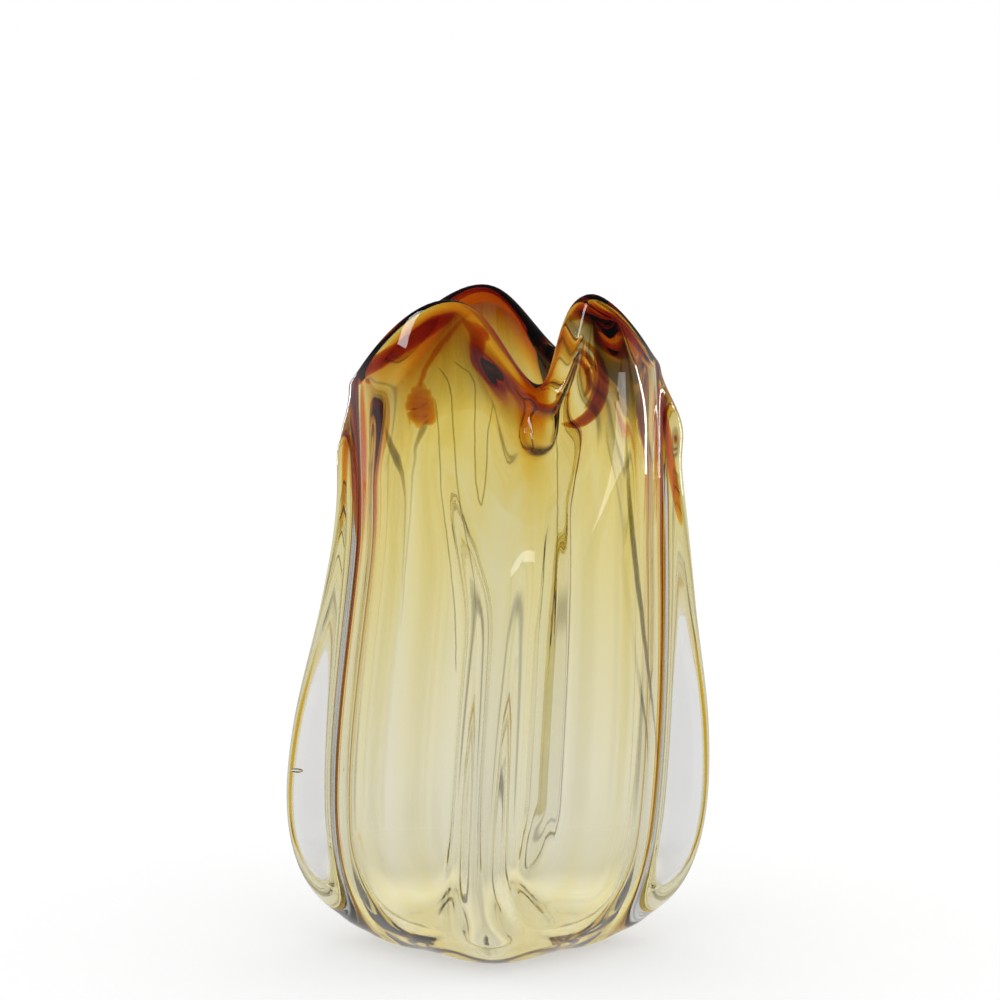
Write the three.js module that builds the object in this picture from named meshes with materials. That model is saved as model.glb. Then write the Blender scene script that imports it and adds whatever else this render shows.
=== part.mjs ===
// Ribbed glass vase with a pinched mouth: clear casing, amber lining and dark amber lip wrap.
// Millimetres, Z up, the front rib faces minus Y, the vase stands on Z = 0.
import * as THREE from 'three';

// Main sizes
const CREST_HEIGHT = 262;         // middle of the wall at the lip's highest crest
const SHOULDER_HEIGHT = 156;      // where the body ends and the neck begins
const BELLY_RADIUS = 60.3;        // middle of the wall where the body is widest
const SHOULDER_RADIUS = 56.4;
const BOTTOM_HEIGHT = 4.8;        // middle of the wall under the cavity

// Wall
const WALL_HALF = 3.5;            // half the glass wall of the body
const LIP_HALF = 5;               // half the thickness of the rounded lip
const LIP_SWELL_START = 55;       // the wall thickens between these distances from the lip
const LIP_SWELL_END = 8;
const LAYER_GAP = 0.3;            // clearance kept between two glass layers
const WRAP_DEPTH = 13;            // how far the lip wrap reaches down the wall

// Middle of the wall from the axis out and up to the shoulder, the same all round
const BODY_RINGS = [
  { radius: 0, height: BOTTOM_HEIGHT },
  { radius: 13, height: BOTTOM_HEIGHT },
  { radius: 27, height: BOTTOM_HEIGHT + 0.1 },
  { radius: 41, height: BOTTOM_HEIGHT + 2.2 },
  { radius: BELLY_RADIUS - 7.8, height: 17 },
  { radius: BELLY_RADIUS - 1.7, height: 38 },
  { radius: BELLY_RADIUS, height: 64 },
  { radius: BELLY_RADIUS - 0.2, height: 94 },
  { radius: BELLY_RADIUS - 1.9, height: 126 },
  { radius: SHOULDER_RADIUS, height: SHOULDER_HEIGHT },
];

// Middle of the wall at the lip: ribs and panels in turn, from the front rib towards the right.
// below is how far the lip lies under the highest crest. The other three are degrees: sway is how far
// the station has swung round in the body, turn how far at the lip, tuck how far the lip tips inwards.
const STATIONS = [
  { place: 'front rib', radius: 33, below: 34, sway: -3.5, turn: 19, tuck: -30 },
  { place: 'front right panel', radius: 38, below: 0, sway: -3, turn: -2, tuck: 30 },
  { place: 'right rib', radius: 52, below: 26, sway: 0, turn: 0, tuck: 4 },
  { place: 'back right panel', radius: 38, below: 14, sway: -8, turn: -11, tuck: 24 },
  { place: 'back rib', radius: 29, below: 25, sway: -15, turn: -36, tuck: 14 },
  { place: 'back left panel', radius: 31, below: 1, sway: -8, turn: -15, tuck: 34 },
  { place: 'left rib', radius: 58.5, below: 33, sway: 0, turn: 0, tuck: -3 },
  { place: 'front left panel', radius: 35, below: 1, sway: -3, turn: 5, tuck: 26 },
];
const SWAY_START = 8;             // heights between which the sway grows
const SWAY_END = 45;
const TURN_START = 140;           // heights between which the turn takes its place
const TURN_END = 230;

// Ribs of the clear casing: how far one stands out from the wall, by height
const RIB_PROFILE = [
  { height: 0, out: 12 },
  { height: 10, out: 15.5 },
  { height: 20, out: 18 },
  { height: 40, out: 20.3 },
  { height: 60, out: 20.9 },
  { height: 75, out: 20.2 },
  { height: 94, out: 18.8 },
  { height: 132, out: 13.6 },
  { height: 176, out: 10.2 },
  { height: 200, out: 8.2 },
  { height: 250, out: 7 },
];

// Each rib: its station, its share of the profile, the turn of its upper end, and the depth of the
// groove with which the cavity follows it
const RIBS = [
  { station: 0, strength: 0.92, turn: -16, groove: 1.6 },
  { station: 2, strength: 1.05, turn: 0, groove: 1.2 },
  { station: 4, strength: 0.9, turn: -20, groove: 3.4 },
  { station: 6, strength: 0.98, turn: 0, groove: 1.2 },
];
const FRONT_RIB = RIBS[0];
const RIGHT_RIB = RIBS[1];
const RIB_HALF_WIDTH = 7.6;
const RIB_SQUARENESS = 2.6;       // 2 is a bell shape, more is blunter
const RIB_FLARE = 0.9;            // how much wider a rib gets at its foot
const RIB_FLARE_HEIGHT = 45;
const RIB_LEAST_REACH = 0.75;     // share of its size that a rib still stands out under the foot
const RIB_FADE = 34;              // length under the lip over which a rib dies away
const RIB_AT_LIP = 0.12;          // share of the rib that is left at the lip
const FUNNEL_WIDENING = 1;        // the front rib opens into a funnel between these heights
const FUNNEL_START = 130;
const FUNNEL_END = 215;
const FRONT_FADE_START = 188;     // heights between which the front rib dies away
const FRONT_FADE_END = 224;
const SHOULDER_SWELL = 0.6;       // the right rib is fuller between these heights
const SHOULDER_SWELL_START = 190;
const SHOULDER_SWELL_END = 232;
const AXIS_RADIUS = 8.5;          // nearer the axis, distances round it are taken at this radius
const GROOVE_HALF_WIDTH = 7.5;
const GROOVE_START = 9;           // heights between which the grooves begin
const GROOVE_FULL = 48;
const GROOVE_FADE = 44;           // distances from the lip between which they end
const GROOVE_END = 10;

// The lip rolls outwards round the pinch, and a round fold swells at each side of it
const ROLL_OUT = 3.4;
const ROLL_HALF_WIDTH = 17;
const ROLL_FULL = 7;              // distances from the lip between which the roll ends
const ROLL_END = 14;
const ROLL_SQUARENESS = 4;
const LEFT_FOLD = { across: -17, halfWidth: 10, below: 11, halfLength: 10, out: 4.5, squareness: 2 };
const RIGHT_FOLD = { across: 19, halfWidth: 14, below: 26, halfLength: 16, out: 5.5, squareness: 2 };
const FOLD_CUT = 0.5;             // share of a fold's length that the wrap's cut runs down it

// Glass drop that hangs from the lip wrap in the pinch
const DROP_OUT = 8;
const DROP_HANG = 3;
const DROP_HALF_WIDTH = 4.4;
const DROP_SQUARENESS = 4;
const DROP_LENGTH = 29.5;
const DROP_BELLY_LOW = 23;        // distances from the lip between which the drop is fullest
const DROP_BELLY_HIGH = 16;
const DROP_TOP = 9;
const DROP_AT_LIP = 0.3;          // share of the drop that is left at the lip
const DROP_COLLAR = 1.5;          // how much wider than the drop the wrap's cut dips round it

// Amber lining: thickness by height
const LINING_PROFILE = [
  { height: 0, out: 0.8 },
  { height: 60, out: 0.9 },
  { height: 120, out: 1.5 },
  { height: 180, out: 2.8 },
  { height: 215, out: 3.6 },
  { height: 240, out: 4 },
];
const LINING_AT_LIP = 4.2;        // thickness where the lining runs into the lip wrap
const LINING_SWELL = 30;          // length under the lip over which it gets that thick

// Foot: a ground diamond with its corners under the ribs, hollowed in the middle
const FOOT_RADIUS = 39;
const UNDERSIDE_HEIGHT = 39;      // below it the wall is shaped as foot and underside
const FOOT_CORNER = 5;            // how much further out the corners under the ribs reach
const FOOT_EDGE_IN = 5;
const FOOT_EDGE_OUT = 9;
const HOLLOW_RADIUS = 17;
const HOLLOW_DEPTH = 1.2;
const HOLLOW_EDGE = 4;

// The whole vase leans a little to the right on its way up
const LEAN_FOOT = -2.2;
const LEAN_TOP = 5;
const LEAN_START = 25;
const LEAN_END = 190;

// Mesh steps
const SECTOR_STEPS = 18;          // steps from one rib's far side to the other
const RIB_CROWDING = 0.4;         // 0 spaces them evenly, 1 crowds them on the rib
const WALL_STEPS = 29;
const INNER_STEPS = 18;
const END_CROWDING = 0.45;        // how much closer rows are at the bottom and at the lip
const WRAP_STEPS = 7;
const ROUND_STEPS = 4;
const LINE_STEPS = 420;

const COLOURS = {
  clear: new THREE.Color(0.88, 0.88, 0.85),
  amber: new THREE.Color(0.83, 0.68, 0.32),
  wrap: new THREE.Color(0.38, 0.12, 0.03),
};

const STATION_COUNT = STATIONS.length;
const RIB_COUNT = RIBS.length;
const STATION_ANGLE = (2 * Math.PI) / STATION_COUNT;
const FRONT_ANGLE = -Math.PI / 2;

function ease(from, to, value) {
  const t = Math.min(1, Math.max(0, (value - from) / (to - from)));
  return t * t * (3 - 2 * t);
}

function bell(distance, halfWidth, squareness) {
  return Math.exp(-Math.pow(Math.abs(distance) / halfWidth, squareness));
}

function alongProfile(profile, height) {
  const last = profile[profile.length - 1];
  if (height <= profile[0].height) return profile[0].out;
  if (height >= last.height) return last.out;
  const next = profile.findIndex((step) => step.height >= height);
  const low = profile[next - 1];
  const high = profile[next];
  const share = (height - low.height) / (high.height - low.height);
  return low.out + (high.out - low.out) * share;
}

// Smooth closed wave through the eight stations, read at any place between them
function stationValue(place, read) {
  let sum = 0;
  for (let k = 0; k < STATION_COUNT; k++) {
    let away = place - k;
    away -= STATION_COUNT * Math.round(away / STATION_COUNT);
    const near = Math.abs(away) < 1e-9;
    const wave = Math.sin(Math.PI * away) / (STATION_COUNT * Math.tan((Math.PI * away) / STATION_COUNT));
    sum += (near ? 1 : wave) * read(STATIONS[k]);
  }
  return sum;
}

// Smooth curve through the body's rings, from 0 at the axis to 1 at the shoulder
function bodyPoint(share) {
  const count = BODY_RINGS.length;
  const place = share * (count - 1);
  const first = Math.min(Math.floor(place), count - 2);
  const f = place - first;
  const weights = [
    Math.pow(1 - f, 3) / 6,
    (3 * f * f * f - 6 * f * f + 4) / 6,
    (-3 * f * f * f + 3 * f * f + 3 * f + 1) / 6,
    (f * f * f) / 6,
  ];
  const ring = (index) => {
    if (index < 0) return mirrored(BODY_RINGS[0], BODY_RINGS[1]);
    if (index >= count) return mirrored(BODY_RINGS[count - 1], BODY_RINGS[count - 2]);
    return BODY_RINGS[index];
  };
  const point = { radius: 0, height: 0 };
  weights.forEach((weight, k) => {
    point.radius += weight * ring(first - 1 + k).radius;
    point.height += weight * ring(first - 1 + k).height;
  });
  return point;
}

function mirrored(end, neighbour) {
  return {
    radius: 2 * end.radius - neighbour.radius,
    height: 2 * end.height - neighbour.height,
  };
}

// Curve from the shoulder to the lip, leaving the shoulder and reaching the lip in set directions
function neckPoint(share, start, heading, lip) {
  const span = Math.hypot(lip.radius - start.radius, lip.height - start.height);
  const squared = share * share;
  const cubed = squared * share;
  const atStart = 2 * cubed - 3 * squared + 1;
  const leave = (cubed - 2 * squared + share) * span;
  const atLip = 3 * squared - 2 * cubed;
  const reach = (cubed - squared) * span;
  const tuck = (lip.tuck * Math.PI) / 180;
  return {
    radius: atStart * start.radius + leave * heading.radius + atLip * lip.radius - reach * Math.sin(tuck),
    height: atStart * start.height + leave * heading.height + atLip * lip.height + reach * Math.cos(tuck),
  };
}

// How far something has swung round the axis at a height, in radians: by its sway, then by its turn
function swingAt(height, sway, turn) {
  const inBody = ease(SWAY_START, SWAY_END, height);
  const atLip = ease(TURN_START, TURN_END, height);
  return ((sway * inBody * (1 - atLip) + turn * atLip) * Math.PI) / 180;
}

// Middle line of the wall at one place round the vase, with the run along it and its outward side
function middleLine(place) {
  const lip = {
    radius: stationValue(place, (station) => station.radius),
    height: CREST_HEIGHT - stationValue(place, (station) => station.below),
    tuck: stationValue(place, (station) => station.tuck),
  };
  const sway = stationValue(place, (station) => station.sway);
  const turn = stationValue(place, (station) => station.turn);
  const start = bodyPoint(1);
  const before = bodyPoint(1 - 1 / LINE_STEPS);
  const step = Math.hypot(start.radius - before.radius, start.height - before.height);
  const heading = {
    radius: (start.radius - before.radius) / step,
    height: (start.height - before.height) / step,
  };
  const points = [];
  for (let k = 0; k <= LINE_STEPS; k++) points.push(bodyPoint(k / LINE_STEPS));
  for (let k = 1; k <= LINE_STEPS; k++) points.push(neckPoint(k / LINE_STEPS, start, heading, lip));
  let run = 0;
  points.forEach((point, k) => {
    const low = points[Math.max(0, k - 1)];
    const high = points[Math.min(points.length - 1, k + 1)];
    const length = Math.hypot(high.radius - low.radius, high.height - low.height);
    if (k > 0) run += Math.hypot(point.radius - low.radius, point.height - low.height);
    point.run = run;
    point.outRadius = (high.height - low.height) / length;
    point.outHeight = -(high.radius - low.radius) / length;
    point.angle = FRONT_ANGLE + place * STATION_ANGLE + swingAt(point.height, sway, turn);
  });
  return { place, points, length: run };
}

function linePoint(line, run) {
  const { points } = line;
  let low = 0;
  let high = points.length - 1;
  while (high - low > 1) {
    const half = (low + high) >> 1;
    if (points[half].run > run) high = half;
    else low = half;
  }
  const share = Math.min(1, Math.max(0, (run - points[low].run) / (points[high].run - points[low].run)));
  const blend = (key) => points[low][key] + (points[high][key] - points[low][key]) * share;
  const found = {
    run,
    radius: blend('radius'),
    height: blend('height'),
    outRadius: blend('outRadius'),
    outHeight: blend('outHeight'),
    angle: blend('angle'),
  };
  const size = Math.hypot(found.outRadius, found.outHeight);
  found.outRadius /= size;
  found.outHeight /= size;
  return found;
}

// Distance along the wall from a point to a line that swings round as it rises
function distanceTo(point, place, sway, turn) {
  const lineAngle = FRONT_ANGLE + place * STATION_ANGLE + swingAt(point.height, sway, turn);
  const between = Math.atan2(Math.sin(point.angle - lineAngle), Math.cos(point.angle - lineAngle));
  return between * Math.max(point.radius, AXIS_RADIUS);
}

function distanceToRib(point, rib) {
  return distanceTo(point, rib.station, STATIONS[rib.station].sway, rib.turn);
}

function distanceToPinch(point) {
  return distanceTo(point, 0, STATIONS[0].sway, STATIONS[0].turn);
}

// How far a rib has died away at a point: the front one sinks into the panels lower down
function ribFade(line, point, rib) {
  if (rib === FRONT_RIB) return ease(FRONT_FADE_START, FRONT_FADE_END, point.height);
  return ease(line.length - RIB_FADE, line.length - LIP_HALF, point.run);
}

function ribHalfWidth(point, rib) {
  const flare = RIB_FLARE * (1 - ease(0, RIB_FLARE_HEIGHT, point.height));
  const funnel = rib === FRONT_RIB ? FUNNEL_WIDENING * ease(FUNNEL_START, FUNNEL_END, point.height) : 0;
  return RIB_HALF_WIDTH * (1 + flare + funnel);
}

// How much fuller the right rib is near its top
function ribSwell(point, rib) {
  if (rib !== RIGHT_RIB) return 0;
  return SHOULDER_SWELL * ease(SHOULDER_SWELL_START, SHOULDER_SWELL_END, point.height);
}

function ribHeight(line, point) {
  const squareness = RIB_SQUARENESS - (1 - ease(0, RIB_FLARE_HEIGHT, point.height));
  let sum = 0;
  RIBS.forEach((rib) => {
    const out = alongProfile(RIB_PROFILE, point.height) * rib.strength * (1 + ribSwell(point, rib));
    const width = bell(distanceToRib(point, rib), ribHalfWidth(point, rib), squareness);
    sum += out * width * (1 - (1 - RIB_AT_LIP) * ribFade(line, point, rib));
  });
  if (point.height >= UNDERSIDE_HEIGHT) return sum;
  return sum * ease(HOLLOW_RADIUS, FOOT_RADIUS + HOLLOW_EDGE, point.radius);
}

function grooveDepth(line, point) {
  const low = ease(GROOVE_START, GROOVE_FULL, point.height);
  const high = 1 - ease(line.length - GROOVE_FADE, line.length - GROOVE_END, point.run);
  let sum = 0;
  RIBS.forEach((rib) => {
    sum += rib.groove * bell(distanceToRib(point, rib), GROOVE_HALF_WIDTH, 2);
  });
  return sum * low * high;
}

function foldOut(line, point, fold) {
  const across = bell(distanceToPinch(point) - fold.across, fold.halfWidth, fold.squareness);
  const along = bell(line.length - point.run - fold.below, fold.halfLength, fold.squareness);
  return fold.out * across * along;
}

// How far the rolled rim and its two folds stand out from the wall
function rollOut(line, point) {
  const across = bell(distanceToPinch(point), ROLL_HALF_WIDTH, ROLL_SQUARENESS);
  const along = 1 - ease(ROLL_FULL, ROLL_END, line.length - point.run);
  return ROLL_OUT * across * along + foldOut(line, point, LEFT_FOLD) + foldOut(line, point, RIGHT_FOLD);
}

function dropShape(line, point) {
  const across = bell(distanceToPinch(point), DROP_HALF_WIDTH, DROP_SQUARENESS);
  const rise = ease(line.length - DROP_LENGTH, line.length - DROP_BELLY_LOW, point.run);
  const fall = ease(line.length - DROP_BELLY_HIGH, line.length - DROP_TOP, point.run);
  return across * rise * (1 - (1 - DROP_AT_LIP) * fall);
}

function halfWall(line, point) {
  const swell = ease(line.length - LIP_SWELL_START, line.length - LIP_SWELL_END, point.run);
  return WALL_HALF + (LIP_HALF - WALL_HALF) * swell;
}

function liningThickness(line, point) {
  const plain = alongProfile(LINING_PROFILE, point.height);
  const near = ease(line.length - LINING_SWELL, line.length - WRAP_DEPTH, point.run);
  return plain + (LINING_AT_LIP - plain) * near;
}

function leanAt(height) {
  return LEAN_FOOT + (LEAN_TOP - LEAN_FOOT) * ease(LEAN_START, LEAN_END, height);
}

function standing(point, radius, height) {
  const reach = Math.max(0, radius);
  return new THREE.Vector3(
    reach * Math.cos(point.angle) + leanAt(point.height),
    reach * Math.sin(point.angle),
    height,
  );
}

// How much of the wall's half is left at a run along it: all of it, then a quarter circle at the lip
function lipRound(line, run) {
  const into = Math.max(0, run - (line.length - LIP_HALF)) / LIP_HALF;
  return Math.sqrt(Math.max(0, 1 - into * into));
}

function outerPoint(line, run) {
  const point = linePoint(line, run);
  const round = lipRound(line, run);
  const half = halfWall(line, point) + rollOut(line, point);
  const rib = ribHeight(line, point);
  const drop = dropShape(line, point);
  const low = point.height < UNDERSIDE_HEIGHT;
  const sideways = low ? Math.max(point.outRadius, RIB_LEAST_REACH) : Math.max(point.outRadius, 0);
  const radius = point.radius + (point.outRadius * half + rib * sideways + drop * DROP_OUT) * round;
  let height = point.height + (point.outHeight * half - drop * DROP_HANG) * round;
  if (low) {
    const edge = FOOT_RADIUS + FOOT_CORNER * Math.cos(RIB_COUNT * point.angle);
    const lift = ease(edge - FOOT_EDGE_IN, edge + FOOT_EDGE_OUT, radius);
    const hollow = HOLLOW_DEPTH * (1 - ease(HOLLOW_RADIUS - HOLLOW_EDGE, HOLLOW_RADIUS, point.radius));
    height = Math.max(hollow, Math.max(0, height) * lift);
  }
  return standing(point, radius, height);
}

// A point inside the wall, at a distance out from the cavity's face
function layerPoint(line, run, out) {
  const point = linePoint(line, run);
  const depth = (halfWall(line, point) - grooveDepth(line, point) - out(point)) * lipRound(line, run);
  return standing(point, point.radius - point.outRadius * depth, point.height - point.outHeight * depth);
}

function cavityPoint(line, run) {
  return layerPoint(line, run, () => 0);
}

// The cut between the lip wrap and the layers under it dips on the outside round the drop and the folds
function wrapDip(line) {
  const start = linePoint(line, line.length - WRAP_DEPTH);
  const across = distanceToPinch(start);
  const collar = DROP_HALF_WIDTH * DROP_COLLAR;
  const roundDrop = (DROP_LENGTH - WRAP_DEPTH) * bell(across, collar, RIB_SQUARENESS);
  const roundFolds = [LEFT_FOLD, RIGHT_FOLD].map((fold) => {
    const reach = Math.max(0, fold.below + fold.halfLength * FOLD_CUT - WRAP_DEPTH);
    return reach * bell(across - fold.across, fold.halfWidth, fold.squareness);
  });
  return Math.max(roundDrop, ...roundFolds);
}

function wrapEdge(line, outwards) {
  return line.length - WRAP_DEPTH - wrapDip(line) * outwards;
}

// Where the seam between casing and lining ends under the wrap
function seamEdge(line) {
  const point = linePoint(line, line.length - WRAP_DEPTH);
  return wrapEdge(line, liningThickness(line, point) / (2 * halfWall(line, point)));
}

// The gap under the wrap, measured along the wall: wider where the cut runs at a slant
function wrapGap(line) {
  return LAYER_GAP * Math.hypot(1, wrapDip(line) / (2 * WALL_HALF));
}

// Places round the vase, close together on the ribs and wider apart on the panels
function placesRound() {
  const places = [];
  for (let rib = 0; rib < RIB_COUNT; rib++) {
    for (let k = 0; k < SECTOR_STEPS; k++) {
      const side = (2 * k) / SECTOR_STEPS - 1;
      places.push(2 * rib + (1 - RIB_CROWDING) * side + RIB_CROWDING * side * side * side);
    }
  }
  return places;
}

// Runs along a face from the axis to its upper edge, closer together at both ends
function runsUp(edge, steps) {
  const runs = [];
  for (let k = 0; k <= steps; k++) {
    const turn = (2 * Math.PI * k) / steps;
    runs.push((edge * (turn - END_CROWDING * Math.sin(turn))) / (2 * Math.PI));
  }
  return runs;
}

// Closed body from columns of points: the first rows run up its outer face, the rest down its inner.
// Squares are halved the same way on both, so that faces of neighbouring layers stay side by side.
function closedBody(columns, upRows, polesAtEnds) {
  const count = columns.length;
  const length = columns[0].length;
  const positions = [];
  const faces = [];
  const index = (column, row) => {
    if (polesAtEnds && row === 0) return 0;
    if (polesAtEnds && row === length - 1) return 1;
    const first = polesAtEnds ? 1 : 0;
    const rows = polesAtEnds ? length - 2 : length;
    return (polesAtEnds ? 2 : 0) + (column % count) * rows + row - first;
  };
  if (polesAtEnds) positions.push(...columns[0][0].toArray(), ...columns[0][length - 1].toArray());
  columns.forEach((column) => {
    const kept = polesAtEnds ? column.slice(1, -1) : column;
    kept.forEach((point) => positions.push(...point.toArray()));
  });
  const rowCount = polesAtEnds ? length - 1 : length;
  for (let column = 0; column < count; column++) {
    for (let row = 0; row < rowCount; row++) {
      const next = (row + 1) % length;
      const a = index(column, row);
      const b = index(column + 1, row);
      const c = index(column + 1, next);
      const d = index(column, next);
      if (a === b) faces.push(a, c, d);
      else if (c === d) faces.push(a, b, c);
      else if (row < upRows) faces.push(a, b, c, a, c, d);
      else faces.push(a, b, d, b, c, d);
    }
  }
  const geometry = new THREE.BufferGeometry();
  geometry.setAttribute('position', new THREE.Float32BufferAttribute(positions, 3));
  geometry.setIndex(faces);
  geometry.computeVertexNormals();
  return geometry;
}

function clearCasingGeometry(lines) {
  const columns = lines.map((line) => {
    const inside = (point) => liningThickness(line, point) + LAYER_GAP;
    const outerEdge = wrapEdge(line, 1);
    const innerEdge = seamEdge(line);
    const up = runsUp(outerEdge, WALL_STEPS).map((run) => outerPoint(line, run));
    const down = runsUp(innerEdge, INNER_STEPS).reverse().map((run) => layerPoint(line, run, inside));
    return [...up, ...down];
  });
  return closedBody(columns, WALL_STEPS + 1, true);
}

function amberLiningGeometry(lines) {
  const columns = lines.map((line) => {
    const outside = (point) => liningThickness(line, point);
    const outerEdge = seamEdge(line);
    const innerEdge = wrapEdge(line, 0);
    const up = runsUp(outerEdge, INNER_STEPS).map((run) => layerPoint(line, run, outside));
    const down = runsUp(innerEdge, INNER_STEPS).reverse().map((run) => cavityPoint(line, run));
    return [...up, ...down];
  });
  return closedBody(columns, INNER_STEPS + 1, true);
}

function lipWrapGeometry(lines) {
  const columns = lines.map((line) => {
    const gap = wrapGap(line);
    const outerEdge = wrapEdge(line, 1) + gap;
    const roundStart = line.length - LIP_HALF;
    const roundRun = (k) => roundStart + LIP_HALF * Math.sin((k * Math.PI) / 2 / ROUND_STEPS);
    const points = [];
    for (let k = 0; k < WRAP_STEPS; k++) {
      points.push(outerPoint(line, outerEdge + ((roundStart - outerEdge) * k) / WRAP_STEPS));
    }
    for (let k = 0; k < ROUND_STEPS; k++) points.push(outerPoint(line, roundRun(k)));
    for (let k = ROUND_STEPS; k >= 0; k--) points.push(cavityPoint(line, roundRun(k)));
    points.push(cavityPoint(line, wrapEdge(line, 0) + gap));
    const onSeam = (point) => liningThickness(line, point) + LAYER_GAP / 2;
    points.push(layerPoint(line, seamEdge(line) + gap, onSeam));
    return points;
  });
  return closedBody(columns, WRAP_STEPS + ROUND_STEPS, false);
}

function clearGlass() {
  return new THREE.MeshStandardMaterial({ color: COLOURS.clear, roughness: 0.03, metalness: 0 });
}

function amberGlass() {
  return new THREE.MeshStandardMaterial({ color: COLOURS.amber, roughness: 0.03, metalness: 0 });
}

function darkAmberGlass() {
  return new THREE.MeshStandardMaterial({ color: COLOURS.wrap, roughness: 0.03, metalness: 0 });
}

function named(name, geometry, material) {
  const mesh = new THREE.Mesh(geometry, material);
  mesh.name = name;
  return mesh;
}

// Puts the middle of the whole vase over the origin, without changing its height
function centred(group) {
  const box = new THREE.Box3().setFromObject(group);
  const middle = box.getCenter(new THREE.Vector3());
  group.children.forEach((mesh) => mesh.geometry.translate(-middle.x, -middle.y, 0));
  return group;
}

function buildVase() {
  const lines = placesRound().map((place) => middleLine(place));
  const group = new THREE.Group();
  group.name = 'glass_vase';
  group.add(named('clear_casing', clearCasingGeometry(lines), clearGlass()));
  group.add(named('amber_lining', amberLiningGeometry(lines), amberGlass()));
  group.add(named('lip_wrap', lipWrapGeometry(lines), darkAmberGlass()));
  return centred(group);
}

export default buildVase();
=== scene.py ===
"""Looks of the glass vase: one clear vessel with an amber lining and a dark amber lip melted into it."""
import math
from types import SimpleNamespace

import bpy
import numpy as np
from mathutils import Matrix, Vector


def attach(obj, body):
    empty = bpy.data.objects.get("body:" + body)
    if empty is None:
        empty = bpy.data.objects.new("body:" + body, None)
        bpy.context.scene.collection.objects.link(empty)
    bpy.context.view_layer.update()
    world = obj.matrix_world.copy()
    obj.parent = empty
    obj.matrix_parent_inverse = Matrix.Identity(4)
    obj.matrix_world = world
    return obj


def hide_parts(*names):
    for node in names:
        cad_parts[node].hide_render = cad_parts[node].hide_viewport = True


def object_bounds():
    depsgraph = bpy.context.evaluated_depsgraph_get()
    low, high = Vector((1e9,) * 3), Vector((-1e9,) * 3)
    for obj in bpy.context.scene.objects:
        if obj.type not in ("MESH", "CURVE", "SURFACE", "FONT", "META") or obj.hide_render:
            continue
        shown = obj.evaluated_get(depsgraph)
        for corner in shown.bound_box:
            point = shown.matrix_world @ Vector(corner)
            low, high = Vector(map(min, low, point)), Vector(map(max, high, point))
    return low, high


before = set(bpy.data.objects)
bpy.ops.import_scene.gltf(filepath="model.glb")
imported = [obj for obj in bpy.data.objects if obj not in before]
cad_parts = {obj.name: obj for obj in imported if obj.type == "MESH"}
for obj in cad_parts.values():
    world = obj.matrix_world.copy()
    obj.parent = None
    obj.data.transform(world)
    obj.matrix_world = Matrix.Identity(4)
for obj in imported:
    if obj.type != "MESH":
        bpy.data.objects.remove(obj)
CAD_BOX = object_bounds()

# The form is worked out in millimetres and degrees, and fitted to the frame's metres at the end

# The wall's middle line, radius and height, from the middle of the foot to the neck
BODY = np.array([(0, 4.8), (13, 4.8), (27, 4.9), (41, 7), (52.5, 17), (58.6, 38), (60.3, 64),
                 (60.1, 94), (58.4, 126), (56.4, 156)], float)

# The lip at eight stations, ribs and panels by turns, from the front rib to the viewer's right
STATIONS = 8
LIP_RADIUS = [33, 38, 52, 38, 29, 31, 58.5, 35]
LIP_HEIGHT = [228, 262, 236, 248, 237, 261, 229, 261]
LIP_TURN = [19, -2, 0, -11, -36, -15, 0, 5]
LIP_TUCK = [-30, 30, 4, 24, 14, 34, -3, 26]
BODY_SWAY = [-3.5, -3, 0, -8, -15, -8, 0, -3]
TURN_HEIGHTS = (140, 230)
SWAY_HEIGHTS = (8, 45)
LEAN_FROM = -2.2
LEAN_BY = 7.2
LEAN_HEIGHTS = (25, 190)
LEAST_RADIUS = 8.5

# Half of the wall's thickness in the body and at the rolled lip, and where below the lip it changes
BODY_HALF = 3.5
LIP_HALF = 5.0
THICKEN_BELOW_LIP = (55, 8)

# How a bell falls away: round, or with ever steeper sides
ROUND_BELL = 2
FULL_BELL = 2.6
STEEP_BELL = 4

# Ribs, counted from the front one to the viewer's right
RIBS = 4
FRONT_RIB = 0
RIGHT_RIB = 1
LEFT_RIB = 3
RIB_TURN = [-16, 0, -20, 0]
RIB_STRENGTH = [0.92, 1.05, 0.9, 0.98]
RIB_HALF_WIDTH = 7.6
RIB_LEVELS = [0, 10, 20, 40, 60, 75, 94, 132, 176, 200, 250]
RIB_OUT = [12, 15.5, 18, 20.3, 20.9, 20.2, 18.8, 13.6, 10.2, 8.2, 7]
TABLE_ROUNDING = 14
RIB_FADE = 0.88
FRONT_FADE_HEIGHTS = (188, 224)
SIDE_FADE_BELOW_LIP = (34, 4.4)
FRONT_RIB_SPREAD = 1.0
FRONT_RIB_SPREAD_HEIGHTS = (130, 215)
RIGHT_SHOULDER = 0.6
RIGHT_SHOULDER_HEIGHTS = (190, 232)

# Foot: ground flat in a rounded diamond, with a shallow hollow in the middle
FOOT_TOP = 39
FOOT_RADIUS = 39
FOOT_DIAMOND = 5
FOOT_EDGE_IN = 5
FOOT_EDGE_OUT = 9
FOOT_RIB_SPREAD = 0.9
FOOT_RIB_SPREAD_TOP = 45
FOOT_RIB_RADII = (17, 43)
FOOT_RIB_PUSH = 0.75
HOLLOW_DEPTH = 1.2
HOLLOW_RADII = (13, 17)

# Grooves in the cavity's face behind the ribs
GROOVE_DEPTHS = [1.6, 1.2, 1.2, 1.2]
GROOVE_HALF_WIDTH = 7.5
GROOVE_HEIGHTS = (9, 48)
GROOVE_BELOW_LIP = (44, 10)

# Hanging drop, measured down from the lip
DROP_OUT = 8
DROP_HANG = 3
DROP_HALF_WIDTH = 4.4
DROP_LENGTH = 29.5
DROP_BELLY_LOW = 23
DROP_BELLY_HIGH = 16
DROP_TOP = 9
DROP_THINNING = 0.7

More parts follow.
